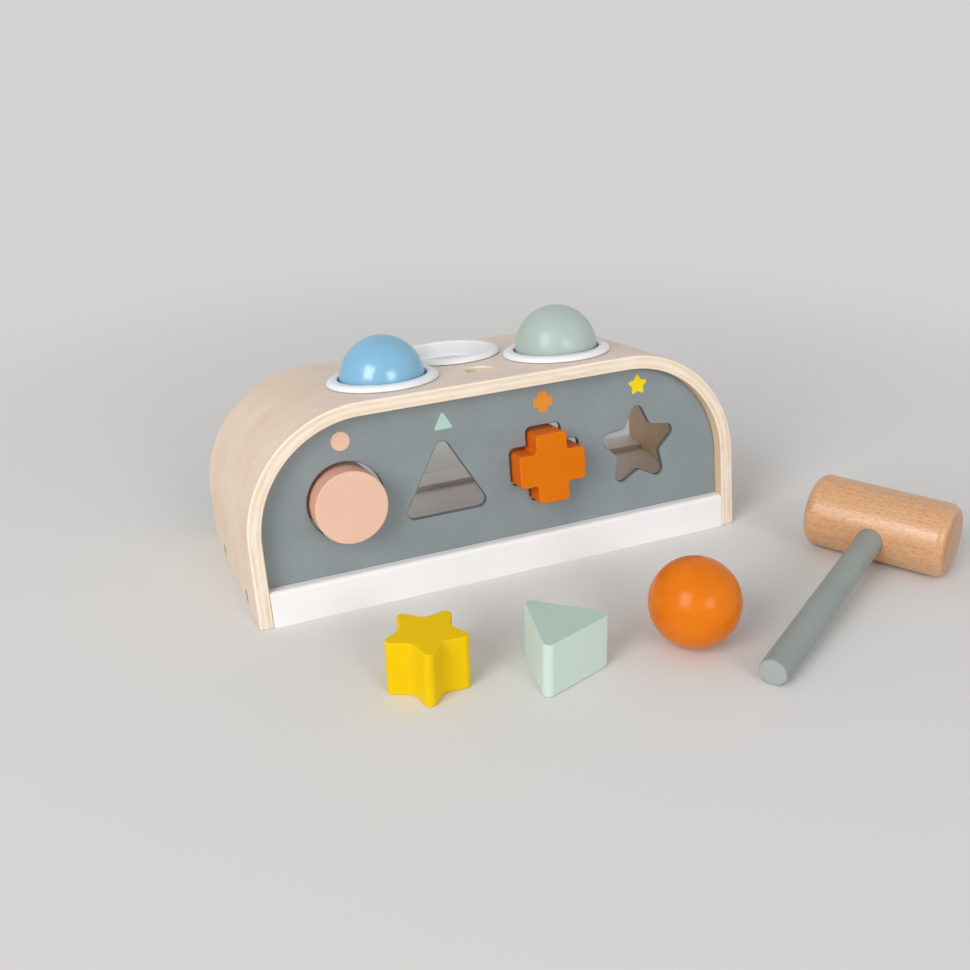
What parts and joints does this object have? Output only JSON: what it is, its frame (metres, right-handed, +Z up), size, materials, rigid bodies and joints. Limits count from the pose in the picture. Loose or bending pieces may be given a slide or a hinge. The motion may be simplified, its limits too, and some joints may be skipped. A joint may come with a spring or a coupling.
{
  "type": "pounding and shape sorting toy",
  "caption": "Leaning bent-plywood arch with a painted shape-sorting panel, elastic ball collars in its top, loose balls and blocks, and a small mallet.",
  "frame": {"origin": "middle of the underside of the base, on the surface that the toy stands on", "axes": "+Z up, +X to the right seen from the front, -Y towards the front panel; the arch leans back by 8.4 degrees about X"},
  "size_m": [0.3619, 0.2711, 0.1276],
  "materials": {
    "birch_plywood": "clear satin lacquer",
    "blue_grey_paint": "satin paint",
    "white_paint": "satin paint",
    "white_plastic": "soft satin",
    "blue_ball_paint": "satin paint",
    "sage_ball_paint": "satin paint",
    "orange_ball_paint": "satin paint",
    "pink_block_paint": "matt paint",
    "orange_block_paint": "matt paint",
    "mint_block_paint": "matt paint",
    "yellow_block_paint": "matt paint",
    "beech": "clear satin lacquer",
    "grey_handle_paint": "satin paint",
    "screw_steel": "zinc plated"
  },
  "bodies": {
    "case": {"arch_shell": "birch_plywood", "front_panel": "blue_grey_paint", "front_kerb": "white_paint", "base_board": "white_paint", "rear_lip": "white_paint", "base_screw_front_left": "screw_steel", "base_screw_front_right": "screw_steel", "base_screw_rear_left": "screw_steel", "base_screw_rear_right": "screw_steel", "ball_collar_left": "white_plastic", "ball_collar_right": "white_plastic", "ball_collar_middle": "white_plastic"},
    "blue_ball": {"blue_ball": "blue_ball_paint"},
    "sage_ball": {"sage_ball": "sage_ball_paint"},
    "orange_ball": {"orange_ball": "orange_ball_paint"},
    "round_block": {"round_block": "pink_block_paint"},
    "cross_block": {"cross_block": "orange_block_paint"},
    "triangle_block": {"triangle_block": "mint_block_paint"},
    "star_block": {"star_block": "yellow_block_paint"},
    "hammer": {"hammer_head": "beech", "hammer_handle": "grey_handle_paint"}
  },
  "joints": [
    {"name": "blue_ball_pass", "type": "slide", "parent": "case", "child": "blue_ball", "axis": [0, 0.1461, 0.9893], "range_m": [-0.016, 0.03], "deforming": ["ball_collar_left"]},
    {"name": "sage_ball_pass", "type": "slide", "parent": "case", "child": "sage_ball", "axis": [0, 0.1461, 0.9893], "range_m": [-0.016, 0.03], "deforming": ["ball_collar_right"]},
    {"name": "round_block_pass", "type": "slide", "parent": "case", "child": "round_block", "axis": [0, 0.9893, -0.1461], "range_m": [-0.024, 0.0155]},
    {"name": "cross_block_pass", "type": "slide", "parent": "case", "child": "cross_block", "axis": [0, 0.9893, -0.1461], "range_m": [-0.024, 0.0155]},
    {"name": "orange_ball_lift", "type": "slide", "parent": "case", "child": "orange_ball", "axis": [0, 0, 1], "range_m": [0, 0.15]},
    {"name": "triangle_block_lift", "type": "slide", "parent": "case", "child": "triangle_block", "axis": [0, 0, 1], "range_m": [0, 0.15]},
    {"name": "star_block_lift", "type": "slide", "parent": "case", "child": "star_block", "axis": [0, 0, 1], "range_m": [0, 0.15]},
    {"name": "hammer_lift", "type": "slide", "parent": "case", "child": "hammer", "axis": [0, 0, 1], "range_m": [0, 0.15]}
  ]
}
